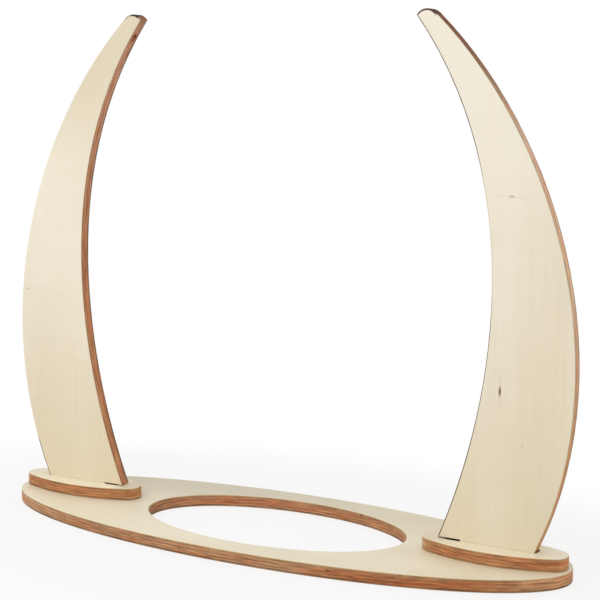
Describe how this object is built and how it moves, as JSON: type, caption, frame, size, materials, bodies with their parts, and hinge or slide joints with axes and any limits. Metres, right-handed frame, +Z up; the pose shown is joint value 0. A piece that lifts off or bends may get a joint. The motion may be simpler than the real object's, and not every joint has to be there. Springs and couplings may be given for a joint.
{
  "type": "gong stand",
  "caption": "Plywood gong stand: oval base with an oval opening, slotted end pads and two tusk-shaped uprights that lift out.",
  "frame": {"origin": "middle of the base's underside, on the surface that the stand rests on", "axes": "+X along the base from the left upright to the right one, -Y to the side seen in the picture, +Z up"},
  "size_m": [0.88, 0.29, 0.7321],
  "materials": {
    "birch_plywood": "sanded, clear matt",
    "screw_zinc": "zinc plated"
  },
  "bodies": {
    "base": {"base_plate": "birch_plywood", "left_pad": "birch_plywood", "right_pad": "birch_plywood", "left_pad_screw_1": "screw_zinc", "left_pad_screw_2": "screw_zinc", "left_pad_screw_3": "screw_zinc", "left_pad_screw_4": "screw_zinc", "right_pad_screw_1": "screw_zinc", "right_pad_screw_2": "screw_zinc", "right_pad_screw_3": "screw_zinc", "right_pad_screw_4": "screw_zinc"},
    "left_upright": {"left_upright": "birch_plywood"},
    "right_upright": {"right_upright": "birch_plywood"}
  },
  "joints": [
    {"name": "left_upright_lift", "type": "slide", "parent": "base", "child": "left_upright", "axis": [0, 0, 1], "range_m": [0, 0.04]},
    {"name": "right_upright_lift", "type": "slide", "parent": "base", "child": "right_upright", "axis": [0, 0, 1], "range_m": [0, 0.04]}
  ]
}
